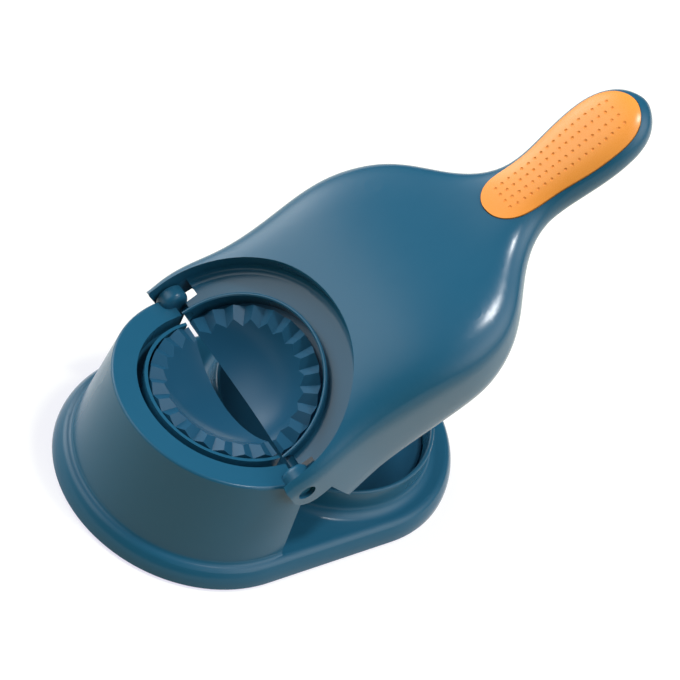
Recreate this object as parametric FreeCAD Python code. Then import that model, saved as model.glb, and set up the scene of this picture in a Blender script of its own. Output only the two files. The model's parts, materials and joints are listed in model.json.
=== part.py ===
import FreeCAD, Part
import math
import os

# A hand press for dumplings, in millimetres. The base has a tall half-round block with one half of
# a toothed mould, and a low round cup behind it. A hinged lever carries the other half of the mould
# and a round plate that flattens dough in the cup.
# The origin is on the table, under the middle of the hinge axis. +X runs towards the handle, +Z is up.
# The lever is modelled lying level, with its own origin on the hinge axis, and then raised.

# Wall, fits and cuts shared by all pieces
wall = 2.6
fit_gap = 0.2
split_gap = 0.35
overrun = 40.0

# Front block and its half ring
ring_outer_r = 50.0
ring_width = 10.3
ring_top_z = 54.4
ring_edge_r = 1.2
block_taper_deg = 5.5
block_sweep_deg = 71.0
ledge_depth = 7.6
ledge_thickness = 4.4
channel_width = 3.3
front_rim_width = 1.4
front_rim_drop = 0.5

# Hinge
hinge_rise = 0.4
rest_angle_deg = 40.4
knuckle_r = 6.0
knuckle_in = 5.8
knuckle_out = 0.6
knuckle_edge_r = 2.8
pin_r = 3.7
pin_press_gap = 0.01
pin_running_gap = 0.06
pin_recess = 1.8
pin_seat_end = 1.2
pin_chamfer = 0.5

# Racetrack flange of the base: its edge swells up in an arc and rounds over to a flat top
flange_reach = 10.0
flange_flare = 1.0
flange_back = 3.1
flange_top_z = 10.4
flange_edge_rise = 1.0
flange_swell_r = 12.4
flange_crest_r = 4.0
flange_foot_in = 0.8

# Cup for the dough, its place a share of the lever's reach
cup_place_share = 0.301
cup_in = 11.4
cup_draft = 0.4
cup_rim_z = 23.8
cup_rim_width = 2.0
cup_cove_r = 5.2
cup_floor_z = 12.2
dough_plate_thickness = 2.4
dough_plate_edge = 0.6

# Bottom cover and the non-slip ring under it
cover_thickness = 2.4
cover_recess = 0.2
pad_ring_width = 5.0
pad_ring_height = 2.2
pad_ring_proud = 0.4
pad_ring_in = 1.5
pillar_r = 3.5
pillar_in = 12.6
pillar_side_in = 13.0
pillar_angle_deg = 30.0

# Screws
screw_shank_r = 1.3
screw_head_r = 2.6
screw_head_height = 1.6
screw_grip = 3.2
screw_recess_r = 0.9
screw_recess_depth = 0.9
screw_hole_gap = 0.2

# Toothed mould, the same for both halves but for its outer radius
tooth_count = 25
tooth_crest = 0.5
tooth_valley = -2.1
tooth_ring_width = 5.0
front_mould_gap = 0.9
rear_mould_gap = 2.6
dish_depth = 11.5
mould_flange_reach = 3.5
mould_flange_thickness = 2.0
mould_screw_in = 3.6
mould_screw_angles_deg = (-55.0, 0.0, 55.0)

# Mouth of the lever
mouth_gap = 1.6
mouth_floor_drop = 0.4
mouth_floor_thickness = 4.6
mouth_cove_r = 3.2
lip_height_share = 0.39
lip_edge_r = 1.6
bead_gap = 0.5
bead_width = 1.4
bead_height = 4.0
bead_edge_r = 0.5
window_gap = 0.5
window_length = 9.5

# Lever shell: its reach from the hinge to the tip, its ears and the front of its skirt
lever_reach = 200.6
ear_thickness = 3.8
skirt_gap = 1.0
ear_front = 6.5
ear_drop = 10.0
ear_corner_r = 5.0
skirt_front = 12.0
skirt_front_top = 8.8
front_wall_u = 12.4
section_points = 64

# Lever sections, front to tip: place as a share of the reach, half width as a share of the ears',
# then top, middle and bottom as shares of the skirt's drop, and the powers of the upper and lower curves
lever_section_shares = (
    (-0.045, 1.000, 0.388, -0.267, -1.40, 8.0, 6.0),
    (0.000, 1.000, 0.388, -0.267, -1.40, 8.0, 6.0),
    (0.060, 0.986, 0.388, -0.267, -1.40, 7.4, 6.0),
    (0.130, 0.950, 0.388, -0.300, -1.40, 5.4, 6.0),
    (0.200, 0.944, 0.387, -0.333, -1.40, 4.3, 5.6),
    (0.275, 0.958, 0.375, -0.333, -1.40, 3.9, 5.0),
    (0.339, 0.972, 0.340, -0.333, -1.38, 3.7, 4.6),
    (0.399, 0.969, 0.267, -0.367, -1.34, 3.4, 4.3),
    (0.449, 0.932, 0.175, -0.400, -1.26, 3.2, 3.9),
    (0.499, 0.853, 0.065, -0.417, -1.14, 3.0, 3.3),
    (0.549, 0.705, -0.040, -0.433, -0.99, 2.8, 2.8),
    (0.598, 0.505, -0.120, -0.467, -0.90, 2.6, 2.6),
    (0.648, 0.347, -0.173, -0.507, -0.86, 2.5, 2.5),
    (0.698, 0.268, -0.193, -0.517, -0.843, 2.5, 2.5),
    (0.748, 0.259, -0.183, -0.507, -0.833, 2.5, 2.5),
    (0.798, 0.279, -0.147, -0.473, -0.80, 2.5, 2.5),
    (0.848, 0.297, -0.107, -0.440, -0.76, 2.5, 2.5),
    (0.900, 0.296, -0.080, -0.407, -0.72, 2.5, 2.5),
    (0.940, 0.266, -0.087, -0.400, -0.693, 2.4, 2.4),
    (0.973, 0.196, -0.140, -0.397, -0.64, 2.3, 2.3),
    (0.991, 0.116, -0.227, -0.393, -0.56, 2.2, 2.2),
    (1.000, 0.043, -0.327, -0.393, -0.46, 2.0, 2.0),
)
least_section_half_width = 3.0

# Cover under the lever's belly, and the plate that presses the dough; the pillars' places are shares
# of the reach and of the ears' half width
belly_cover_thickness = 3.4
belly_cover_recess = 0.2
belly_pillar_r = 4.0
belly_pillar_shares = ((0.1545, 0.74), (0.4636, 0.632))
press_plate_gap = 3.6
press_plate_thickness = 3.0
press_plate_edge_r = 1.5
press_gap = 1.2
press_boss_share = 0.605
press_boss_count = 4

# Cover under the handle, in shares of the reach, of the ears' half width and of the skirt's drop
handle_cover_start_share = 0.668
handle_cover_end_share = 0.907
handle_cover_width_share = 0.1535
handle_cover_top_share = -0.62
handle_pillar_r = 3.6
handle_pillar_in = 9.0

# Grip pad on the handle, with rows of dimples
grip_start_share = 0.6107
grip_end_share = 0.9801
grip_width_share = 0.2491
grip_proud = 0.5
grip_depth = 1.6
grip_seam = 0.3
# Outline of the pad: place as a share of its length, half width as a share of its greatest
grip_outline_shares = (
    (0.030, 0.46), (0.085, 0.68), (0.200, 0.79), (0.360, 0.81), (0.530, 0.93),
    (0.720, 1.00), (0.850, 0.92), (0.935, 0.69), (0.983, 0.36),
)
dimple_r = 0.8
dimple_sink = 0.45
dimple_pitch = 3.3
dimple_start_share = 0.653
dimple_end_share = 0.9397
dimple_row_shares = (-0.53, -0.18, 0.18, 0.53)

# Heights that follow from the ones above
hinge_z = ring_top_z + hinge_rise
base_bottom_z = pad_ring_proud
ledge_top_z = ring_top_z - ledge_depth
ledge_bottom_z = ledge_top_z - ledge_thickness
dough_top_z = cup_floor_z + dough_plate_thickness
cover_bottom_z = base_bottom_z + cover_recess
cover_top_z = cover_bottom_z + cover_thickness
skirt_drop = hinge_z - cup_rim_z - skirt_gap
lip_height = lip_height_share * skirt_drop
mouth_floor_w = -mouth_floor_drop
mouth_under_w = mouth_floor_w - mouth_floor_thickness
press_bottom_w = dough_top_z + press_gap - hinge_z
belly_cover_bottom = -skirt_drop + belly_cover_recess
belly_cover_top = belly_cover_bottom + belly_cover_thickness
handle_cover_top = handle_cover_top_share * skirt_drop
grip_low = -skirt_drop / 2

# Radii and widths that follow from the half ring
ring_inner_r = ring_outer_r - ring_width
front_rim_outer_r = ring_inner_r - channel_width
front_rim_inner_r = front_rim_outer_r - front_rim_width
front_mould_r = front_rim_inner_r - front_mould_gap
bead_outer_r = ring_inner_r - bead_gap
bead_inner_r = bead_outer_r - bead_width
rear_mould_r = bead_inner_r - rear_mould_gap
dish_rim_r = front_mould_r - tooth_ring_width
dish_sphere_r = (dish_rim_r ** 2 + dish_depth ** 2) / (2 * dish_depth)
dish_centre = dish_sphere_r - dish_depth
mould_flange_r = ring_inner_r + mould_flange_reach
mould_screw_r = mould_flange_r - mould_screw_in
knuckle_inner_y = ring_outer_r - knuckle_in
knuckle_outer_y = ring_outer_r + knuckle_out
mouth_r = ring_outer_r + mouth_gap
ear_inner_y = mouth_r
ear_half_width = mouth_r + ear_thickness
flange_r = ring_outer_r + flange_reach
pillar_circle_r = flange_r - pillar_in
pillar_side_y = flange_r - pillar_side_in
cup_rim_r = flange_r - cup_in
cup_foot_r = cup_rim_r + cup_draft
cup_inner_r = cup_rim_r - cup_rim_width
press_plate_r = cup_inner_r - press_plate_gap
press_boss_circle_r = press_boss_share * press_plate_r
handle_cover_half_width = handle_cover_width_share * ear_half_width
grip_half_width = grip_width_share * ear_half_width

# Places along the press
back_face_x = -split_gap
cup_x = cup_place_share * lever_reach
flange_span = cup_x + flange_back
handle_cover_start = handle_cover_start_share * lever_reach
handle_cover_end = handle_cover_end_share * lever_reach
grip_start = grip_start_share * lever_reach
grip_end = grip_end_share * lever_reach
dimple_start = dimple_start_share * lever_reach
dimple_end = dimple_end_share * lever_reach

V = FreeCAD.Vector
ORIGIN = V(0, 0, 0)
UP = V(0, 0, 1)
ALONG = V(1, 0, 0)
ACROSS = V(0, 1, 0)


# Building blocks
def box(low, high):
    """A box between two corners."""
    size = V(*high) - V(*low)
    return Part.makeBox(size.x, size.y, size.z, V(*low))


def cylinder(radius, low, high, x=0, y=0):
    """An upright cylinder."""
    return Part.makeCylinder(radius, high - low, V(x, y, low), UP)


def tube(outer, inner, low, high):
    """An upright tube about the Z axis."""
    return cylinder(outer, low, high).cut(cylinder(inner, low - overrun, high + overrun))


def on_circle(centre, radius, degrees):
    """A point of a circle in a profile's plane."""
    angle = math.radians(degrees)
    return (centre[0] + radius * math.cos(angle), centre[1] + radius * math.sin(angle))


def flat_face(start, steps, place):
    """A closed face: each step is a point for a line, or a pair of points for an arc."""
    edges = []
    here = start
    for step in steps + [start]:
        if isinstance(step[0], tuple):
            edges.append(Part.Arc(place(here), place(step[0]), place(step[1])).toShape())
            here = step[1]
        elif step != here:
            edges.append(Part.LineSegment(place(here), place(step)).toShape())
            here = step
    return Part.Face(Part.Wire(edges))


def turned(start, steps, x=0):
    """A solid turned about an upright axis at x, from a profile of (radius, height)."""
    face = flat_face(start, steps, lambda p: V(x + p[0], 0, p[1]))
    return face.revolve(V(x, 0, 0), UP, 360)


def front_half(shape, gap):
    """What lies in front of the hinge plane by more than the gap."""
    reach = flange_r + overrun
    return shape.common(box((-reach, -reach, -reach), (-gap, reach, hinge_z + reach)))


def rear_half(shape, gap):
    """What lies behind the hinge plane by more than the gap."""
    reach = flange_r + overrun
    return shape.common(box((gap, -reach, -reach), (reach, reach, reach)))


def fused(shapes):
    """One solid from several that touch."""
    return shapes[0].multiFuse(shapes[1:]).removeSplitter()


# Screws: a round head with a socket, and a plain shank
def screw(place, direction, shank):
    """A screw whose head bears at place and whose shank runs along direction."""
    body = Part.makeCylinder(screw_shank_r, shank, ORIGIN, UP)
    head = Part.makeCylinder(screw_head_r, screw_head_height, V(0, 0, -screw_head_height), UP)
    socket_low = V(0, 0, -screw_head_height)
    socket = Part.makeCylinder(screw_recess_r, screw_recess_depth, socket_low, UP)
    made = body.fuse(head).cut(socket)
    made.rotate(ORIGIN, ALONG, 0 if direction > 0 else 180)
    made.translate(place)
    return made


def screw_hole(place, direction, shank):
    """The bore that a screw's shank fills, a little longer than the shank."""
    start = place - UP * (direction * fit_gap)
    length = shank + fit_gap + screw_hole_gap
    return Part.makeCylinder(screw_shank_r, length, start, UP * direction)


# Base
def racetrack(radius, low, high):
    """An upright prism with two round ends, the base's outline."""
    ends = cylinder(radius, low, high).fuse(cylinder(radius, low, high, flange_span))
    return ends.fuse(box((0, -radius, low), (flange_span, radius, high)))


def swell_centre(edge_r):
    """The centre of the arc in which a foot of this radius swells up."""
    return (edge_r - flange_swell_r, base_bottom_z + flange_edge_rise)


def crest_lean():
    """The angle at which the swelling edge passes into the round crest."""
    rise = flange_top_z - flange_crest_r - base_bottom_z - flange_edge_rise
    return math.degrees(math.asin(rise / (flange_swell_r - flange_crest_r)))


def crest_centre(edge_r):
    """The centre of the round crest on a foot of this radius."""
    return on_circle(swell_centre(edge_r), flange_swell_r - flange_crest_r, crest_lean())


def foot_outline(edge_r, inset, low, sweep_deg):
    """The foot, its swelling edge, and its crest as far as the given angle."""
    swell = swell_centre(edge_r)
    swell_r = flange_swell_r - inset
    crest = crest_centre(edge_r)
    crest_r = flange_crest_r - inset
    lean = crest_lean()
    foot = (swell[0] + swell_r - flange_foot_in, low)
    swelling = (on_circle(swell, swell_r, lean / 2), on_circle(swell, swell_r, lean))
    middle_deg = (lean + sweep_deg) / 2
    rounding = (on_circle(crest, crest_r, middle_deg), on_circle(crest, crest_r, sweep_deg))
    return [foot, on_circle(swell, swell_r, 0), swelling, rounding]


def flange_outline(edge_r, inset, low):
    """Half of the flange's section: foot, swelling edge, round crest and flat top."""
    return foot_outline(edge_r, inset, low, 90) + [(0, flange_top_z - inset)]


def flange_body(inset, low, start):
    """The flange behind the front block, or the hollow in it when inset by a wall."""
    sections = []
    for x, flare in ((start, 0), (flange_span, flange_flare)):
        outline = flange_outline(flange_r + flare, inset, low)
        sections.append(flat_face((0, low), outline, lambda p: V(x, p[0], p[1])))
    near = Part.makeLoft([section.OuterWire for section in sections], True, True)
    far = near.mirror(ORIGIN, ACROSS)
    back = sections[1].revolve(V(flange_span, 0, 0), UP, -180)
    return fused([near, far, back])


def block_body(inset, low, top):
    """The tapered round block in front, its foot swelling and then sweeping up to the wall."""
    crest = crest_centre(flange_r)
    taper = math.radians(block_taper_deg)
    turn = math.cos(math.radians(block_sweep_deg - block_taper_deg))
    along = (crest[0] - ring_outer_r) * math.cos(taper)
    offset = along + (crest[1] - ring_top_z) * math.sin(taper)
    cove_r = (offset + flange_crest_r * turn) / (1 - turn)
    cove = on_circle(crest, flange_crest_r + cove_r, block_sweep_deg)
    middle_deg = (block_sweep_deg + block_taper_deg) / 2
    cove_mid = on_circle(cove, cove_r + inset, 180 + middle_deg)
    cove_top = on_circle(cove, cove_r + inset, 180 + block_taper_deg)
    outline = foot_outline(flange_r, inset, low, block_sweep_deg) + [(cove_mid, cove_top)]
    top_r = ring_outer_r + (ring_top_z - top) * math.tan(taper) - inset
    edge = ring_edge_r
    shoulder = on_circle((top_r - edge, top - edge), edge, 45)
    outline += [(top_r, top - edge), (shoulder, (top_r - edge, top)), (0, top)]
    return turned((0, low), outline)


def cup_body():
    """The cup's wall with a rounded rim and a cove at its foot."""
    half = cup_rim_width / 2
    rim_mid = (cup_rim_r - half, cup_rim_z)
    rim_out = (cup_rim_r, cup_rim_z - half)
    rim_in = (cup_inner_r, cup_rim_z - half)
    centre = (cup_foot_r + cup_cove_r, flange_top_z + cup_cove_r)
    cove_low = (centre[0], flange_top_z)
    cove_top = (cup_foot_r, centre[1])
    cove_mid = on_circle(centre, cup_cove_r, 225)
    low = flange_top_z - wall
    outline = [(cove_low[0], low), cove_low, (cove_mid, cove_top), rim_out, (rim_mid, rim_in)]
    outline += [(cup_inner_r, cup_floor_z), (0, cup_floor_z)]
    return turned((0, low), outline, cup_x)


def base_pillar_places():
    """Where the bottom cover's screws go: two in front, two at the sides, two behind."""
    angle = math.radians(pillar_angle_deg)
    forward = pillar_circle_r * math.cos(angle)
    across = pillar_circle_r * math.sin(angle)
    places = []
    for side in (-1, 1):
        places.append((-forward, side * across))
        places.append((flange_span / 2, side * pillar_side_y))
        places.append((flange_span + forward, side * across))
    return places


def mould_screw_places(side):
    """Screw places of a mould half, behind (1) or in front (-1) of the hinge."""
    angles = [math.radians(degrees) for degrees in mould_screw_angles_deg]
    return [(side * mould_screw_r * math.cos(a), mould_screw_r * math.sin(a)) for a in angles]


def mould_bowl(outer_r, under, grow):
    """The outside of a mould's bowl, grown by a clearance, with its top left open upwards."""
    plug = cylinder(outer_r + grow, under - grow, tooth_crest + overrun)
    ball = Part.makeSphere(dish_sphere_r + wall + grow, V(0, 0, dish_centre))
    inside = cylinder(outer_r + grow, -dish_depth - wall - overrun, under)
    return plug.fuse(ball.common(inside))


def hinge_knuckles():
    """The two round lugs at the ends of the half ring, rounded towards the mould."""
    length = knuckle_outer_y - knuckle_inner_y
    centre = (knuckle_r - knuckle_edge_r, knuckle_edge_r)
    edge_mid = on_circle(centre, knuckle_edge_r, -45)
    outline = [(centre[0], 0), (edge_mid, (knuckle_r, centre[1])), (knuckle_r, length), (0, length)]
    lugs = []
    for side in (-1, 1):
        lug = turned((0, 0), outline)
        lug.rotate(ORIGIN, ALONG, -90 * side)
        lug.translate(V(0, side * knuckle_inner_y, hinge_z))
        lugs.append(lug)
    return lugs


def base_shell():
    """The base's one moulding: flange, front block with its half ring, cup and hinge lugs."""
    reach = flange_r + overrun
    block = block_body(0, base_bottom_z, ring_top_z)
    block = block.cut(box((knuckle_r, -reach, -reach), (reach, reach, reach)))
    middle = box((back_face_x, -knuckle_inner_y, flange_top_z), (reach, knuckle_inner_y, reach))
    block = block.cut(middle)
    flange = flange_body(0, base_bottom_z, 0)
    outside = fused([flange, block, cup_body()] + hinge_knuckles())
    low = base_bottom_z - overrun
    back_wall = split_gap + wall
    hollow = flange_body(wall, low, -back_wall - fit_gap)
    hollow = hollow.fuse(cylinder(cup_inner_r, low, cup_floor_z - wall, cup_x))
    block_hollow = front_half(block_body(wall, low, ledge_bottom_z), back_wall)
    pillars = [
        cylinder(pillar_r, cover_top_z, ledge_bottom_z + wall, x, y).common(outside)
        for x, y in base_pillar_places()
    ]
    shell = outside.cut(hollow).cut(block_hollow).cut(cover_recess_body())
    for pillar in pillars:
        shell = shell.fuse(pillar)
    channel = tube(ring_inner_r, front_rim_outer_r, ledge_top_z, hinge_z + overrun)
    above_rim = cylinder(front_rim_outer_r, ring_top_z - front_rim_drop, hinge_z + overrun)
    well = cylinder(front_rim_inner_r, ledge_bottom_z - fit_gap, hinge_z + overrun)
    bowl_under = ledge_bottom_z - mould_flange_thickness - hinge_z
    bowl = mould_bowl(front_mould_r, bowl_under, split_gap)
    bowl.translate(V(0, 0, hinge_z))
    for cut in (channel, above_rim, well, bowl):
        shell = shell.cut(front_half(cut, -knuckle_r))
    for x, y in mould_screw_places(-1):
        shell = shell.cut(screw_hole(V(x, y, ledge_bottom_z), 1, screw_grip))
    for x, y in base_pillar_places():
        shell = shell.cut(screw_hole(V(x, y, cover_top_z), 1, screw_grip))
    for pin in hinge_pin_bores(pin_press_gap):
        shell = shell.cut(pin)
    return shell.removeSplitter()


def cover_recess_body():
    """The rebate in the base's rim that takes the bottom cover."""
    return racetrack(flange_r - wall - fit_gap, base_bottom_z - overrun, cover_top_z)


def hinge_pin(side):
    """A hinge pin, from inside the lug to below the face of the lever's ear."""
    inner = knuckle_inner_y + pin_seat_end
    outer = ear_half_width - pin_recess
    profile = [(pin_r - pin_chamfer, 0), (pin_r, pin_chamfer), (pin_r, outer - inner - pin_chamfer)]
    profile += [(pin_r - pin_chamfer, outer - inner), (0, outer - inner)]
    pin = turned((0, 0), profile)
    pin.rotate(ORIGIN, ALONG, -90 * side)
    pin.translate(V(0, side * inner, hinge_z))
    return pin


def hinge_pin_bores(gap):
    """The bores for both pins in the base's lugs."""
    start = knuckle_inner_y + pin_seat_end
    bores = []
    for side in (-1, 1):
        place = V(0, side * start, hinge_z)
        bores.append(Part.makeCylinder(pin_r + gap, overrun, place, ACROSS * side))
    return bores


def dough_plate():
    """The smooth disc on the cup's floor."""
    radius = cup_inner_r - fit_gap
    top = dough_top_z
    outline = [(radius, cup_floor_z), (radius, top - dough_plate_edge)]
    outline += [(radius - dough_plate_edge, top), (0, top)]
    return turned((0, cup_floor_z), outline, cup_x)


def base_cover():
    """The flat plate that closes the base, with a groove for the non-slip ring."""
    plate = racetrack(flange_r - wall - 2 * fit_gap, cover_bottom_z, cover_top_z)
    plate = plate.cut(pad_ring_body(fit_gap))
    for x, y in base_pillar_places():
        head = cylinder(screw_head_r + fit_gap, cover_bottom_z - overrun, screw_seat_z(), x, y)
        plate = plate.cut(head)
        plate = plate.cut(cylinder(screw_shank_r + fit_gap, cover_bottom_z, cover_top_z, x, y))
    return plate.removeSplitter()


def screw_seat_z():
    """The height in the bottom cover where the screw heads bear."""
    return cover_bottom_z + screw_head_height + fit_gap / 2


def pad_ring_body(gap):
    """The non-slip ring, or its groove when grown by a gap."""
    outer = flange_r - wall - pad_ring_in + gap
    top = pad_ring_height
    ring = racetrack(outer, 0, top)
    return ring.cut(racetrack(outer - pad_ring_width - 2 * gap, -overrun, top + overrun))


def base_cover_screws():
    """The screws that hold the bottom cover."""
    shank = screw_grip + cover_top_z - screw_seat_z()
    return [screw(V(x, y, screw_seat_z()), 1, shank) for x, y in base_pillar_places()]


# Toothed mould halves
def mould(outer_r, under):
    """A whole round mould about its axis: teeth round a dish, on a flange at the given height."""
    body = mould_bowl(outer_r, under - mould_flange_thickness, 0)
    body = body.common(cylinder(outer_r, -dish_depth - wall - overrun, tooth_crest))
    flange = cylinder(mould_flange_r, under - mould_flange_thickness, under)
    body = body.fuse(flange).cut(Part.makeSphere(dish_sphere_r, V(0, 0, dish_centre)))
    half_pitch = math.pi / tooth_count
    slope = (tooth_crest - tooth_valley) / (rear_mould_r * math.tan(half_pitch))
    half_width = rear_mould_r * math.tan(half_pitch) * 2
    rise = tooth_valley + slope * half_width
    groove = Part.Face(Part.makePolygon([
        V(0, 0, tooth_valley), V(0, half_width, rise), V(0, -half_width, rise), V(0, 0, tooth_valley),
    ]))
    for tooth in range(tooth_count):
        cut = groove.extrude(V(outer_r + wall, 0, 0))
        cut.rotate(ORIGIN, UP, math.degrees(half_pitch * (2 * tooth + 1)))
        body = body.cut(cut)
    return body


def front_mould():
    """The half in the base, its flange kept behind the block's back wall."""
    under = ledge_bottom_z - hinge_z
    whole = mould(front_mould_r, under)
    for x, y in mould_screw_places(-1):
        whole = whole.cut(cylinder(screw_shank_r + fit_gap, -overrun, under, x, y))
    half = front_half(whole, split_gap)
    flange_end = tube(mould_flange_r + wall, front_mould_r, under - wall, under)
    reach = mould_flange_r + wall
    strip = box((-split_gap - wall - fit_gap, -reach, under - wall), (reach, reach, under))
    half = half.cut(flange_end.common(strip))
    half.translate(V(0, 0, hinge_z))
    return half


def front_mould_screws():
    """Screws that come up through the front mould's flange into the ledge."""
    seat = ledge_bottom_z - mould_flange_thickness
    shank = screw_grip + mould_flange_thickness
    return [screw(V(x, y, seat), 1, shank) for x, y in mould_screw_places(-1)]


def rear_mould():
    """The half in the lever's mouth."""
    whole = mould(rear_mould_r, mouth_under_w)
    for x, y in mould_screw_places(1):
        whole = whole.cut(cylinder(screw_shank_r + fit_gap, -overrun, mouth_under_w, x, y))
    return rear_half(whole, split_gap)


def rear_mould_screws():
    """Screws that come up through the rear mould's flange into the mouth's floor."""
    seat = mouth_under_w - mould_flange_thickness
    shank = screw_grip + mould_flange_thickness
    return [screw(V(x, y, seat), 1, shank) for x, y in mould_screw_places(1)]


# Lever
def lever_section(shares, grow):
    """One section across the lever, as points spaced evenly along its outline."""
    along, width, top, middle, bottom, upper_power, lower_power = shares
    half_width = width * ear_half_width + grow
    rise = (top - middle) * skirt_drop + grow
    fall = (middle - bottom) * skirt_drop + grow
    fine = section_points * section_points
    trace = []
    for i in range(fine + 1):
        angle = 2 * math.pi * i / fine
        power = upper_power if angle < math.pi else lower_power
        height = rise if angle < math.pi else fall
        c = math.cos(angle)
        s = math.sin(angle)
        v = half_width * math.copysign(abs(c) ** (2 / power), c)
        w = middle * skirt_drop + height * math.copysign(abs(s) ** (2 / power), s)
        trace.append(V(along * lever_reach, v, w))
    lengths = [0]
    for a, b in zip(trace, trace[1:]):
        lengths.append(lengths[-1] + a.distanceToPoint(b))
    points = []
    j = 0
    for i in range(section_points):
        target = lengths[-1] * i / section_points
        while lengths[j + 1] < target:
            j += 1
        share = (target - lengths[j]) / (lengths[j + 1] - lengths[j])
        points.append(trace[j] + (trace[j + 1] - trace[j]) * share)
    return points


def lever_form(grow):
    """The lever's smooth outer form, grown or shrunk all round."""
    wires = []
    steps = [i / section_points for i in range(section_points + 1)]
    for shares in lever_section_shares:
        if shares[1] * ear_half_width + grow < least_section_half_width and grow < 0:
            continue
        curve = Part.BSplineCurve()
        points = lever_section(shares, grow)
        curve.interpolate(Points=points, PeriodicFlag=True, Parameters=steps)
        wires.append(Part.Wire(curve.toShape()))
    return Part.makeLoft(wires, True, False)


def side_region():
    """What the side view keeps of the lever: ears, lip, skirt and handle."""
    tip = lever_reach + overrun
    low = -skirt_drop
    front = -ear_front
    top = lip_height
    corner = on_circle((front + ear_corner_r, top - ear_corner_r), ear_corner_r, 135)
    heel_r = ear_drop - pin_r / 2
    heel = on_circle((front + heel_r, heel_r - ear_drop), heel_r, 225)
    steps = [
        (tip, low), (tip, top), (front + ear_corner_r, top),
        (corner, (front, top - ear_corner_r)), (front, heel_r - ear_drop),
        (heel, (front + heel_r, -ear_drop)), (skirt_front_top, -ear_drop),
    ]
    face = flat_face((skirt_front, low), steps, lambda p: V(p[0], -overrun - ear_half_width, p[1]))
    return face.extrude(ACROSS * (2 * (overrun + ear_half_width)))


def mouth_recess():
    """The round recess of the mouth, with a cove at its floor and a rounded lip."""
    floor = mouth_floor_w
    centre = (mouth_r - mouth_cove_r, floor + mouth_cove_r)
    cove_mid = on_circle(centre, mouth_cove_r, -45)
    lip_centre = (mouth_r + lip_edge_r, lip_height - lip_edge_r)
    lip_mid = on_circle(lip_centre, lip_edge_r, 135)
    steps = [
        (centre[0], floor), (cove_mid, (mouth_r, centre[1])), (mouth_r, lip_centre[1]),
        (lip_mid, (lip_centre[0], lip_height)), (lip_centre[0], lip_height + overrun),
        (0, lip_height + overrun),
    ]
    return turned((0, floor), steps)


def bead():
    """The thin raised rim round the mould's hole in the mouth."""
    top = bead_height
    edge = bead_edge_r
    outline = [
        (bead_outer_r, mouth_under_w), (bead_outer_r, top - edge), (bead_outer_r - edge, top),
        (bead_inner_r + edge, top), (bead_inner_r, top - edge),
    ]
    return rear_half(turned((bead_inner_r, mouth_under_w), outline), split_gap)


def grip_outline(grow, low, high):
    """An upright prism with the grip pad's rounded outline."""
    length = grip_end - grip_start
    near = []
    for along, width in grip_outline_shares:
        near.append((grip_start + along * length, width * grip_half_width + grow))
    ends = [(grip_start - grow, 0), (grip_end + grow, 0)]
    ring = [ends[0]] + near + [ends[1]] + [(u, -v) for u, v in reversed(near)]
    curve = Part.BSplineCurve()
    curve.interpolate(Points=[V(u, v, low) for u, v in ring], PeriodicFlag=True)
    return Part.Face(Part.Wire(curve.toShape())).extrude(V(0, 0, high - low))


def handle_cover_prism(gap, low, high):
    """An upright prism with the round-ended outline of the cover under the handle."""
    radius = handle_cover_half_width + gap
    start = handle_cover_start + handle_cover_half_width
    end = handle_cover_end - handle_cover_half_width
    ends = cylinder(radius, low, high, start).fuse(cylinder(radius, low, high, end))
    return ends.fuse(box((start, -radius, low), (end, radius, high)))


def handle_pillar_places():
    """Where the screws of the cover under the handle go."""
    return (handle_cover_start + handle_pillar_in, handle_cover_end - handle_pillar_in)


def belly_pillar_places():
    """Where the screws of the belly's cover go."""
    places = []
    for along, across in belly_pillar_shares:
        for side in (-1, 1):
            places.append((along * lever_reach, side * across * ear_half_width))
    return places


def lever_shell(outer, inner):
    """The lever's one visible moulding, open below, with ears, mouth and handle."""
    reach = lever_reach + overrun
    mouth_block = cylinder(mouth_r + wall, mouth_under_w, lip_height + overrun)
    hollow = inner.cut(mouth_block)
    front = box((-reach, -ear_inner_y, -reach), (split_gap, ear_inner_y, reach))
    under = box((-reach, -ear_inner_y, -reach), (front_wall_u, ear_inner_y, mouth_under_w))
    shell = outer.common(side_region()).cut(hollow)
    pillars = [
        cylinder(belly_pillar_r, belly_cover_top, lip_height, u, v).common(outer)
        for u, v in belly_pillar_places()
    ]
    pillars += [
        cylinder(handle_pillar_r, handle_cover_top, 0, u).common(outer)
        for u in handle_pillar_places()
    ]
    for pillar in pillars:
        shell = shell.fuse(pillar)
    shell = shell.cut(mouth_recess()).cut(under).fuse(bead())
    shell = shell.cut(cylinder(bead_inner_r, mouth_under_w - overrun, bead_height + overrun))
    shell = shell.cut(front)
    window_top = mouth_floor_w + mouth_cove_r
    window_low = (-reach, knuckle_inner_y - window_gap, -reach)
    window = box(window_low, (window_length, knuckle_outer_y + window_gap, window_top))
    shell = shell.cut(window).cut(window.mirror(ORIGIN, ACROSS))
    bore_start = V(0, -reach, 0)
    shell = shell.cut(Part.makeCylinder(pin_r + pin_running_gap, 2 * reach, bore_start, ACROSS))
    shell = shell.cut(handle_cover_prism(fit_gap, -reach, handle_cover_top))
    pocket = grip_outline(grip_seam, grip_low, overrun).cut(lever_form(-grip_depth))
    shell = shell.cut(pocket)
    for u, v in belly_pillar_places():
        shell = shell.cut(screw_hole(V(u, v, belly_cover_top), 1, screw_grip))
    for u in handle_pillar_places():
        shell = shell.cut(screw_hole(V(u, 0, handle_cover_top), 1, screw_grip))
    for u, v in mould_screw_places(1):
        shell = shell.cut(screw_hole(V(u, v, mouth_under_w), 1, screw_grip))
    return shell


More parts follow.
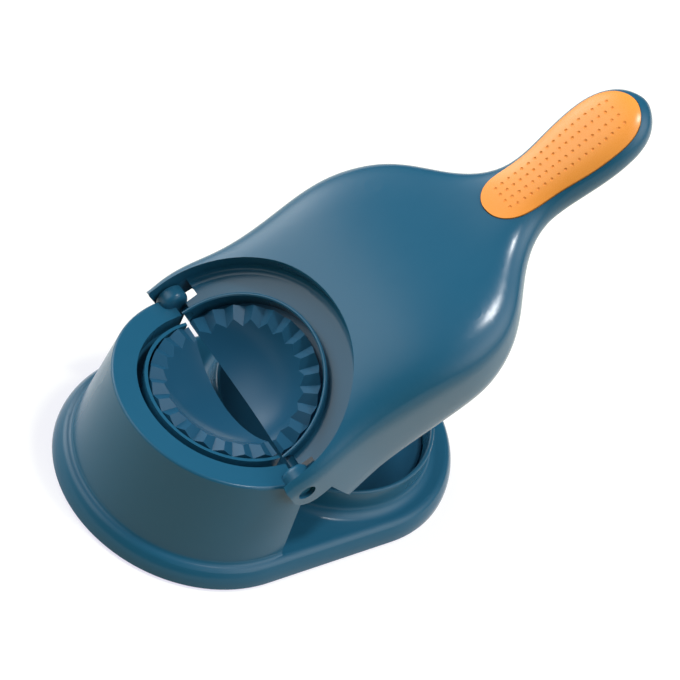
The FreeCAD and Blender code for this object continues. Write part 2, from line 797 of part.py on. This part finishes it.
def grip_pad():
    """The coloured pad on the handle, a little proud, with rows of dimples."""
    pad = grip_outline(0, grip_low, overrun).common(lever_form(grip_proud))
    pad = pad.cut(lever_form(-grip_depth))
    count = int((dimple_end - dimple_start) / dimple_pitch) + 1
    pits = []
    for i in range(count):
        u = dimple_start + i * dimple_pitch
        for share in dimple_row_shares:
            v = share * grip_width_at(u)
            line = Part.LineSegment(V(u, v, grip_low), V(u, v, overrun)).toShape()
            surface = line.common(pad).BoundBox.ZMax
            pits.append(Part.makeSphere(dimple_r, V(u, v, surface + dimple_r - dimple_sink)))
    return pad.cut(Part.makeCompound(pits))


def grip_width_at(u):
    """The pad's half width at a place, between the points of its outline."""
    share = (u - grip_start) / (grip_end - grip_start)
    pairs = zip(grip_outline_shares, grip_outline_shares[1:])
    for (a, width_a), (b, width_b) in pairs:
        if a <= share <= b:
            return grip_half_width * (width_a + (width_b - width_a) * (share - a) / (b - a))
    return grip_half_width * grip_outline_shares[-1][1]


def belly_cover(inside):
    """The panel that closes the belly below and in front, with a cut-out for the rear mould."""
    reach = lever_reach + overrun
    floor = box((front_wall_u, -reach, belly_cover_bottom), (reach, reach, belly_cover_top))
    front_top = mouth_under_w - mould_flange_thickness - fit_gap
    front_end = front_wall_u + belly_cover_thickness
    front = box((front_wall_u, -reach, belly_cover_bottom), (front_end, reach, front_top))
    panel = floor.fuse(front).common(inside)
    panel = panel.cut(mould_bowl(rear_mould_r, front_top, split_gap))
    for u, v in belly_pillar_places():
        panel = panel.cut(cylinder(screw_head_r + fit_gap, -reach, belly_screw_seat(), u, v))
    for u, v in belly_pillar_places() + press_boss_places():
        panel = panel.cut(cylinder(screw_shank_r + fit_gap, -reach, belly_cover_top, u, v))
    return panel.removeSplitter()


def press_boss_places():
    """Where the press plate is screwed to the belly's cover."""
    places = []
    for i in range(press_boss_count):
        u, v = on_circle((cup_x, 0), press_boss_circle_r, 360 * (i + 1 / 2) / press_boss_count)
        places.append((u, v))
    return places


def press_plate():
    """The round plate that flattens the dough, hollow above and screwed to the belly's cover."""
    low = press_bottom_w
    top = belly_cover_bottom
    edge = press_plate_edge_r
    edge_mid = on_circle((press_plate_r - edge, low + edge), edge, -45)
    inner = press_plate_r - wall
    deck = low + press_plate_thickness
    outline = [
        (press_plate_r - edge, low), (edge_mid, (press_plate_r, low + edge)), (press_plate_r, top),
        (inner, top), (inner, deck), (0, deck),
    ]
    plate = turned((0, low), outline, cup_x)
    for u, v in press_boss_places():
        plate = plate.fuse(cylinder(pillar_r, deck, top, u, v))
    for u, v in press_boss_places():
        plate = plate.cut(screw_hole(V(u, v, top), -1, screw_grip))
    return plate.removeSplitter()


def belly_screw_seat():
    """The height in the belly's cover where its screw heads bear, sunk clear of the cup's rim."""
    return belly_cover_bottom + screw_head_height + fit_gap / 2


def belly_cover_screws():
    """Screws from below through the belly's cover."""
    shank = screw_grip + belly_cover_top - belly_screw_seat()
    return [screw(V(u, v, belly_screw_seat()), 1, shank) for u, v in belly_pillar_places()]


def press_plate_screws():
    """Screws from above through the belly's cover into the press plate."""
    shank = screw_grip + belly_cover_thickness
    return [screw(V(u, v, belly_cover_top), -1, shank) for u, v in press_boss_places()]


def handle_screw_seat():
    """The height in the handle's cover where its screw heads bear."""
    return handle_cover_top - wall


def handle_cover(outer):
    """The inset cover under the handle, following the handle's outside."""
    plate = handle_cover_prism(0, -skirt_drop - overrun, handle_cover_top).common(outer)
    for u in handle_pillar_places():
        head = cylinder(screw_head_r + fit_gap, -skirt_drop - overrun, handle_screw_seat(), u)
        plate = plate.cut(head)
        plate = plate.cut(cylinder(screw_shank_r + fit_gap, -skirt_drop, handle_cover_top, u))
    return plate


def handle_cover_screws():
    """The screws of the handle's cover."""
    shank = screw_grip + wall
    return [screw(V(u, 0, handle_screw_seat()), 1, shank) for u in handle_pillar_places()]


def raised(shape):
    """A lever piece, turned from level to its rest pose and set on the hinge axis."""
    placed = shape.copy()
    placed.rotate(ORIGIN, -ACROSS, rest_angle_deg)
    placed.translate(V(0, 0, hinge_z))
    return placed


# All pieces
def main():
    os.makedirs("parts", exist_ok=True)
    outer = lever_form(0)
    inner = lever_form(-wall)
    base_nodes = {
        "base_shell": base_shell(),
        "front_mould": front_mould(),
        "front_mould_screws": Part.makeCompound(front_mould_screws()),
        "dough_plate": dough_plate(),
        "base_cover": base_cover(),
        "base_cover_screws": Part.makeCompound(base_cover_screws()),
        "base_ring": pad_ring_body(0),
        "hinge_pin_near": hinge_pin(-1),
        "hinge_pin_far": hinge_pin(1),
    }
    lever_nodes = {
        "lever_shell": lever_shell(outer, inner),
        "rear_mould": rear_mould(),
        "rear_mould_screws": Part.makeCompound(rear_mould_screws()),
        "belly_cover": belly_cover(lever_form(-wall - fit_gap)),
        "belly_cover_screws": Part.makeCompound(belly_cover_screws()),
        "press_plate": press_plate(),
        "press_plate_screws": Part.makeCompound(press_plate_screws()),
        "handle_cover": handle_cover(outer),
        "handle_cover_screws": Part.makeCompound(handle_cover_screws()),
        "grip_pad": grip_pad(),
    }
    nodes = dict(base_nodes)
    nodes.update((name, raised(shape)) for name, shape in lever_nodes.items())
    for name, shape in nodes.items():
        shape.exportStep("parts/" + name + ".step")
        size = shape.BoundBox
        extent = "%.1f x %.1f x %.1f mm" % (size.XLength, size.YLength, size.ZLength)
        print(name, "solids", len(shape.Solids), "valid", shape.isValid(), extent)


main()
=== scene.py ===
# %% [markdown]
# # A dumpling press
# The press has two bodies: a base that stands on the table, with a half-round block and a low cup,
# and a lever that turns on two pins at the ends of the block's half ring. The solids come from the
# CAD source, so this lesson keeps their shapes. It gives them their finishes, their real screws,
# a studio to stand in and the camera.

# %% Load the solids
import json
import math

import bmesh
import bpy
from mathutils import Matrix, Vector


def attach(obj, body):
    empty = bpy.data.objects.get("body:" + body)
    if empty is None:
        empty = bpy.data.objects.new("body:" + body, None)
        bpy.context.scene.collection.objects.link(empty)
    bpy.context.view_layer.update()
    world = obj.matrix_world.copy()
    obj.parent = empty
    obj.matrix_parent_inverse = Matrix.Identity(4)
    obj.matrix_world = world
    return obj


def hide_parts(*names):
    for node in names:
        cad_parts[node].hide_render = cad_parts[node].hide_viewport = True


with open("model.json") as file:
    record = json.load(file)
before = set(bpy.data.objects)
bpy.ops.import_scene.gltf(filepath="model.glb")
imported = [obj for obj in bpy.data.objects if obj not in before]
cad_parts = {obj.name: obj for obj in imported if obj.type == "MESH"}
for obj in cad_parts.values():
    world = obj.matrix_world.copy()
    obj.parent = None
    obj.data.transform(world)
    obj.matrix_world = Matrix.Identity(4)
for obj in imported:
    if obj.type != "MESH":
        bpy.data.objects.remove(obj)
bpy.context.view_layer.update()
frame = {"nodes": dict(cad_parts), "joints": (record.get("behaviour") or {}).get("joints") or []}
solids = frame["nodes"]
lever_hinge = frame["joints"][0]
hinge_height = lever_hinge["pos_m"][2]
print("loaded", len(solids), "solids; the hinge is", round(hinge_height * 1000, 1), "mm above the table")

# %% [markdown]
# ## Camera
# A long lens looks down on the press from the front block's side, and the camera is rolled, so that
# the lever runs up to the right. Its place and its three axes are written directly, because a rolled
# camera is easier to state as a frame than as three turns. The lens is about 132 mm on a 36 mm sensor.

# %% Set the camera
camera_data = bpy.data.cameras.new("camera")
camera_data.sensor_width = 36
camera_data.lens = 132.35
camera_data.clip_start = 0.05
camera_data.clip_end = 60
camera = bpy.data.objects.new("camera", camera_data)
bpy.context.scene.collection.objects.link(camera)
to_right = Vector((0.777335, -0.533935, 0.332663))
to_top = Vector((0.223536, 0.728727, 0.647293))
towards_eye = Vector((-0.588033, -0.428801, 0.685818))
eye_place = Vector((-0.545714, -0.433739, 0.760622))
turn = Matrix((to_right, to_top, towards_eye)).transposed().to_4x4()
turn.translation = eye_place
camera.matrix_world = turn
bpy.context.scene.camera = camera
print("camera at", [round(v, 3) for v in camera.location])

# %% [markdown]
# ## Shader values
# A material's maths reads best as plain Python. This small class wraps a socket, and each sum adds
# the Math node that it stands for. Every other node comes from its one method, which takes the
# node's type, its settings, and the values or links of its sockets.

# %% A socket that works in sums
class Value:
    """A socket of a node tree, for use in Python expressions."""

    def __init__(self, tree, socket):
        self.tree = tree
        self.socket = socket

    def node(self, kind, settings=None, sockets=None, out=0):
        """Any node: its type, its settings, then the values or links of its sockets."""
        made = self.tree.nodes.new(kind)
        for name, value in (settings or {}).items():
            setattr(made, name, value)
        for name, value in (sockets or {}).items():
            if isinstance(value, Value):
                self.tree.links.new(value.socket, made.inputs[name])
            else:
                made.inputs[name].default_value = value
        return Value(self.tree, made.outputs[out])

    def sum_of(self, operation, first, second):
        return self.node("ShaderNodeMath", {"operation": operation}, {0: first, 1: second})

    def __add__(self, other):
        return self.sum_of("ADD", self, other)

    def __mul__(self, other):
        return self.sum_of("MULTIPLY", self, other)

    __radd__ = __add__
    __rmul__ = __mul__

    def noise(self, scale, detail=2.0, roughness=0.5):
        """Soft noise read at this place, about 0.5 on average."""
        sockets = {"Vector": self, "Scale": scale, "Detail": detail, "Roughness": roughness}
        return self.node("ShaderNodeTexNoise", None, sockets, "Fac")

    def stretched(self, x, y, z):
        """These coordinates, stretched along each axis."""
        return self.node("ShaderNodeMapping", None, {"Vector": self, "Scale": (x, y, z)})

    def between(self, low, high):
        """A colour that runs from low to high as this value runs from 0 to 1."""
        sockets = {0: self, 6: (*low, 1), 7: (*high, 1)}
        return self.node("ShaderNodeMix", {"data_type": "RGBA"}, sockets, 2)

    def feeds(self, shader, name):
        self.tree.links.new(self.socket, shader.inputs[name])


def finish(name, **sockets):
    """A new material: its shader with these plain values, and the object's own coordinates."""
    material = bpy.data.materials.new(name)
    material.use_nodes = True
    tree = material.node_tree
    shader = tree.nodes["Principled BSDF"]
    for socket, value in sockets.items():
        shader.inputs[socket.replace("_", " ")].default_value = value
    place = Value(tree, tree.nodes.new("ShaderNodeTexCoord").outputs["Object"])
    return material, shader, place


def bumped(height, shader, depth):
    """Raises the surface by a height map of this depth in metres."""
    sockets = {"Height": height, "Distance": depth, "Strength": 1.0}
    height.node("ShaderNodeBump", None, sockets).feeds(shader, "Normal")


print("shader helpers ready")

# %% [markdown]
# ## Blue plastic
# The press is moulded from one deep teal-blue plastic. Its outside is satin: it takes soft, fairly
# tight highlights, but never mirrors. Close up, such plastic has a fine eroded grain from the
# steel of the mould, and faint cloudy streaks where the melt flowed. Both are small noises: the
# clouds shift the colour a little, and the grain shifts the roughness and lifts a shallow bump.
# The lever is a little glossier than the base, and the covers underneath are the roughest.

# %% Make the blue plastics
def blue_plastic(name, deep, light, gloss, roughness, grain_depth):
    material, shader, place = finish(name, Specular_IOR_Level=gloss, IOR=1.5)
    clouds = place.noise(scale=22, detail=3.0)
    flow = place.stretched(1.0, 3.0, 3.0).noise(scale=60, detail=3.0)
    grain = place.noise(scale=1900, roughness=0.6)
    (clouds * 0.7 + flow * 0.3).between(deep, light).feeds(shader, "Base Color")
    # Both noises are a half on average, so 0.06 less keeps the mean roughness as it is given.
    (roughness - 0.06 + 0.05 * flow + 0.07 * grain).feeds(shader, "Roughness")
    bumped(grain, shader, grain_depth)
    return material


shell_tones = (0.0115, 0.083, 0.150), (0.0155, 0.094, 0.165)
mould_tones = (0.0115, 0.070, 0.132), (0.0150, 0.080, 0.147)
cover_tones = (0.0100, 0.075, 0.140), (0.0140, 0.088, 0.158)
satin_blue = blue_plastic("satin_blue", *shell_tones, gloss=0.29, roughness=0.22, grain_depth=0.000004)
base_blue = blue_plastic("base_blue", *shell_tones, gloss=0.22, roughness=0.22, grain_depth=0.000004)
mould_blue = blue_plastic("mould_blue", *mould_tones, gloss=0.19, roughness=0.25, grain_depth=0.000006)
cover_blue = blue_plastic("cover_blue", *cover_tones, gloss=0.24, roughness=0.46, grain_depth=0.00002)
print("made", satin_blue.name, base_blue.name, mould_blue.name, cover_blue.name)

# %% [markdown]
# ## Orange grip
# The pad on the handle is a softer plastic with a satin skin, and its dimples are real pits in the
# solid. A soft moulding is never quite even, so broad clouds warm and pale the orange a little, and a
# very fine grain dulls it.

# %% Make the orange of the grip pad
grip_orange, shader, place = finish("grip_orange", Specular_IOR_Level=0.4, IOR=1.46)
clouds = place.noise(scale=35, detail=3.0)
grain = place.noise(scale=2600, roughness=0.6)
clouds.between((0.74, 0.262, 0.042), (0.80, 0.305, 0.056)).feeds(shader, "Base Color")
(0.22 + 0.05 * clouds + 0.06 * grain).feeds(shader, "Roughness")
bumped(grain, shader, depth=0.000008)
print("made", grip_orange.name)

# %% [markdown]
# ## Rubber and steel
# The ring under the base is matt rubber with a dusty bloom. The screws are plain zinc-plated steel,
# turned on a lathe, so their polish is broken by fine streaks.

# %% Make the rubber and the steel
ring_rubber, shader, place = finish("ring_rubber", Specular_IOR_Level=0.3)
bloom = place.noise(scale=90, detail=4.0)
pores = place.noise(scale=1500)
bloom.between((0.030, 0.032, 0.035), (0.055, 0.057, 0.060)).feeds(shader, "Base Color")
(0.72 + 0.16 * bloom).feeds(shader, "Roughness")
bumped(pores, shader, depth=0.00004)

zinc_steel, shader, place = finish("zinc_steel", Metallic=1.0)
plating = place.noise(scale=700, detail=3.0)
streaks = place.stretched(1.0, 1.0, 9.0).noise(scale=1200)
plating.between((0.52, 0.53, 0.55), (0.66, 0.67, 0.68)).feeds(shader, "Base Color")
(0.24 + 0.10 * streaks + 0.08 * plating).feeds(shader, "Roughness")
bumped(streaks, shader, depth=0.000004)
print("made", ring_rubber.name, zinc_steel.name)

# %% [markdown]
# ## Dress the solids
# The solids already have the press's forms, so each one stays and only takes its finish. The mould
# halves and the two round plates are a little duller than the outside, and the covers underneath
# have the coarser skin of parts that are not meant to be seen.

# %% Give each solid its finish
finishes = {
    "base_shell": base_blue, "lever_shell": satin_blue,
    "hinge_pin_near": satin_blue, "hinge_pin_far": satin_blue,
    "front_mould": mould_blue, "rear_mould": mould_blue,
    "dough_plate": mould_blue, "press_plate": mould_blue,
    "base_cover": cover_blue, "belly_cover": cover_blue, "handle_cover": cover_blue,
    "base_ring": ring_rubber, "grip_pad": grip_orange,
}
for node, material in finishes.items():
    solids[node].data.materials.clear()
    solids[node].data.materials.append(material)
print("dressed", len(finishes), "solids")

# %% [markdown]
# ## Screws
# The solids only have a shank and a round head for each screw. A real one has a domed head with a
# cross-shaped recess and a ridged shank that bites into the plastic. One screw is spun from its
# profile, its cross is cut with two crossed bars, and the copies go where the solids' screws are.
# Their places are read from the solids: each loose island is one screw, and the wider end is its head.

# %% Spin one screw and cut its cross
head_r, head_h, shank_r = 0.0026, 0.0016, 0.0013
cross_length, cross_width, cross_height = 0.0029, 0.00062, 0.0020
cross_taper_share = 0.6
ridge_pitch, first_ridge, tip_h = 0.0011, 0.0006, 0.0005
ridged_share, root_share, crest_share, tip_share = 0.8, 0.78, 0.98, 0.7
weld = 1e-7


def spun(profile, steps=40):
    """A closed solid of revolution about Z, from points of (radius, height)."""
    shape = bmesh.new()
    points = [shape.verts.new((r, 0, z)) for r, z in profile]
    lines = [shape.edges.new(pair) for pair in zip(points, points[1:])]
    bmesh.ops.spin(
        shape, geom=points + lines, cent=(0, 0, 0), axis=(0, 0, 1), angle=2 * math.pi,
        steps=steps, use_merge=True,
    )
    bmesh.ops.remove_doubles(shape, verts=shape.verts, dist=weld)
    bmesh.ops.recalc_face_normals(shape, faces=shape.faces)
    return shape


def as_object(shape, name):
    mesh = bpy.data.meshes.new(name)
    shape.to_mesh(mesh)
    shape.free()
    piece = bpy.data.objects.new(name, mesh)
    bpy.context.scene.collection.objects.link(piece)
    return piece


def screw_profile(length):
    """Head dome, bearing face and ridged shank, from the top of the head to the tip."""
    dome = [(0, 0), (0.5, 0.015), (0.78, 0.10), (0.93, 0.28), (1.0, 0.55), (1.0, 1.0)]
    points = [(r * head_r, -head_h + z * head_h) for r, z in dome] + [(shank_r, 0)]
    ridges = int(length * ridged_share / ridge_pitch)
    for i in range(ridges):
        root = first_ridge + i * ridge_pitch
        points += [(shank_r * root_share, root), (shank_r * crest_share, root + ridge_pitch * 0.5)]
    return points + [(shank_r * tip_share, length - tip_h), (0, length)]


def cross_cutter():
    """Two crossed bars that taper into the head."""
    shape = bmesh.new()
    for turn_by in (0, math.pi / 2):
        bar = Matrix.Diagonal((cross_length, cross_width, cross_height, 1))
        made = bmesh.ops.create_cube(shape, size=1.0, matrix=Matrix.Rotation(turn_by, 4, "Z") @ bar)
        inner = [v for v in made["verts"] if v.co.z > 0]
        bmesh.ops.scale(shape, vec=(cross_taper_share, cross_taper_share, 1.0), verts=inner)
    bmesh.ops.translate(shape, vec=(0, 0, -head_h), verts=shape.verts)
    return shape


def screw_mesh(length):
    """One screw whose head bears at the origin, with its shank along +Z."""
    blank = as_object(spun(screw_profile(length)), "screw_blank")
    cutter = as_object(cross_cutter(), "screw_cutter")
    cut = blank.modifiers.new("cross", "BOOLEAN")
    cut.operation = "DIFFERENCE"
    cut.solver = "EXACT"
    cut.use_self = True
    cut.object = cutter
    graph = bpy.context.evaluated_depsgraph_get()
    mesh = bpy.data.meshes.new_from_object(blank.evaluated_get(graph))
    bpy.data.objects.remove(blank)
    bpy.data.objects.remove(cutter)
    return mesh


print("screws have heads", round(head_r * 2000, 1), "mm wide")

# %% Find the screws of a solid
point_weld = 1e-6


def islands(node):
    """The separate solids in a node, as lists of points, in the order of the node's mesh."""
    shape = bmesh.new()
    shape.from_mesh(solids[node].data)
    bmesh.ops.remove_doubles(shape, verts=shape.verts, dist=point_weld)
    left = set(shape.verts)
    groups = []
    for first in shape.verts:
        if first not in left:
            continue
        left.remove(first)
        waiting = [first]
        group = [first]
        while waiting:
            for line in waiting.pop().link_edges:
                for point in line.verts:
                    if point in left:
                        left.remove(point)
                        waiting.append(point)
                        group.append(point)
        groups.append([point.co.copy() for point in group])
    shape.free()
    return groups


def screw_seat(points, axis):
    """Where a screw's head bears, the way its shank points, and the shank's length."""
    middle = sum(points, Vector()) / len(points)
    along = [(p - middle).dot(axis) for p in points]
    out = [((p - middle) - axis * d).length for p, d in zip(points, along)]
    wide = [d for d, r in zip(along, out) if r > (head_r + shank_r) / 2]
    low, high = min(along), max(along)
    if sum(wide) / len(wide) < (low + high) / 2:
        return middle + axis * max(wide), axis, high - max(wide)
    return middle + axis * min(wide), -axis, min(wide) - low


print("base_cover has", len(islands("base_cover_screws")), "screws to replace")

# %% [markdown]
# The base's screws stand upright. The lever's screws lean with it: its hinge's range starts where the
# lever lies level, so the lean in the pose shown is that end of the range.

# %% Put the screws in
turn_between, crease = 0.7, math.radians(35)
lever_lean = -math.radians(lever_hinge["range_deg"][0])
upright = Vector((0, 0, 1))
lever_up = Vector((-math.sin(lever_lean), 0, math.cos(lever_lean)))
screw_axes = {
    "front_mould_screws": ("base", upright), "base_cover_screws": ("base", upright),
    "rear_mould_screws": ("lever", lever_up), "belly_cover_screws": ("lever", lever_up),
    "press_plate_screws": ("lever", lever_up), "handle_cover_screws": ("lever", lever_up),
}
for node, (body, axis) in screw_axes.items():
    shape = bmesh.new()
    seats = [screw_seat(points, axis) for points in islands(node)]
    shank_length = seats[0][2]
    model = screw_mesh(shank_length)
    for i, (seat, way, _) in enumerate(seats):
        spot = way.to_track_quat("Z", "Y").to_matrix().to_4x4() @ Matrix.Rotation(turn_between * i, 4, "Z")
        spot.translation = seat
        screw = model.copy()
        screw.transform(spot)
        shape.from_mesh(screw)
    for face in shape.faces:
        face.smooth = True
    piece = as_object(shape, node.replace("_screws", "_cross_screws"))
    piece.data.materials.append(zinc_steel)
    piece.data.set_sharp_from_angle(angle=crease)
    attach(piece, body)
    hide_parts(node)
    print(piece.name, "has", len(seats), "screws")

# %% [markdown]
# ## Studio
# The press stands on a plain pale floor that runs out of sight. The floor is white to the eye and to
# glossy surfaces, and keeps the soft shadow under the press. Its own colour is khaki, which it throws
# back onto the walls, so they look a little greener than the top faces. The glow that it adds makes
# up what the khaki takes from white.

# %% Lay the floor
floor_half_width = 15
khaki = (0.36, 0.38, 0.23, 1)
white_glow = (0.66, 0.64, 0.79, 1)
shape = bmesh.new()
bmesh.ops.create_grid(shape, x_segments=1, y_segments=1, size=floor_half_width)
floor = as_object(shape, "floor")
floor_white = bpy.data.materials.new("floor_white")
floor_white.use_nodes = True
tree = floor_white.node_tree
tree.nodes.remove(tree.nodes["Principled BSDF"])
path = tree.nodes.new("ShaderNodeLightPath")
seen = Value(tree, path.outputs["Is Camera Ray"])
seen = seen + Value(tree, path.outputs["Is Glossy Ray"])
seen = seen + Value(tree, path.outputs["Is Transmission Ray"])
matt = seen.node("ShaderNodeBsdfDiffuse", None, {"Color": khaki})
glow = seen.node("ShaderNodeEmission", None, {"Color": white_glow, "Strength": seen})
both = seen.node("ShaderNodeAddShader", None, {0: matt, 1: glow})
tree.links.new(both.socket, tree.nodes["Material Output"].inputs["Surface"])
floor.data.materials.append(floor_white)
print("floor laid")

# %% [markdown]
# ## Light
# Satin plastic shows its light twice: evenly in its colour, and as soft sheens where it mirrors a
# bright part of the room. Broad glows in a dim dome make the sheens on the far side of the lever and
# lift the near side out of the dark. One small round lamp high above makes the tight highlights on
# the shoulder, the neck and the rounded edges.

# %% Light the dome
def towards(azimuth, elevation):
    """The direction with this azimuth from +X and this elevation, in degrees."""
    a, e = math.radians(azimuth), math.radians(elevation)
    return Vector((math.cos(a) * math.cos(e), math.sin(a) * math.cos(e), math.sin(e)))


world = bpy.data.worlds.new("studio_dome")
bpy.context.scene.world = world
world.use_nodes = True
tree = world.node_tree
sky = Value(tree, tree.nodes.new("ShaderNodeTexCoord").outputs["Generated"])


def glow_from(azimuth, elevation, strength, tightness):
    """A soft round glow in the dome that fades out evenly from its middle."""
    sockets = {0: sky, 1: towards(azimuth, elevation)}
    facing = sky.node("ShaderNodeVectorMath", {"operation": "DOT_PRODUCT"}, sockets, "Value")
    return strength * sky.sum_of("POWER", sky.sum_of("MAXIMUM", facing, 0.0), tightness)


dim_room = 0.02
far_sheen = glow_from(azimuth=104, elevation=21, strength=6.4, tightness=14)
front_sheen = glow_from(azimuth=145, elevation=40, strength=3.2, tightness=11)
near_fill = glow_from(azimuth=-52, elevation=38, strength=4.0, tightness=8)
light = dim_room + far_sheen + front_sheen + near_fill
light.feeds(tree.nodes["Background"], "Strength")
tree.nodes["Background"].inputs["Color"].default_value = (0.97, 0.99, 1.0, 1)
print("dome lit")

# %% Hang the lamp
key_data = bpy.data.lights.new("key", "AREA")
key_data.shape = "DISK"
key_data.size = 0.16
key_data.energy = 7.0
key = bpy.data.objects.new("key", key_data)
bpy.context.scene.collection.objects.link(key)
lamp_way = towards(azimuth=-38, elevation=74)
lamp_aim = Vector((0.05, 0, 0.06))
lamp_distance = 1.3
key.location = lamp_aim + lamp_distance * lamp_way
key.rotation_euler = lamp_way.to_track_quat("Z", "Y").to_euler()
print("lamp", key.name, "hangs", round(key.location.z, 2), "m above the floor")

# %% [markdown]
# ## View transform
# The view transform stays plain, so that a colour shows as it is written.

# %% Finish
bpy.context.scene.view_settings.view_transform = "Standard"
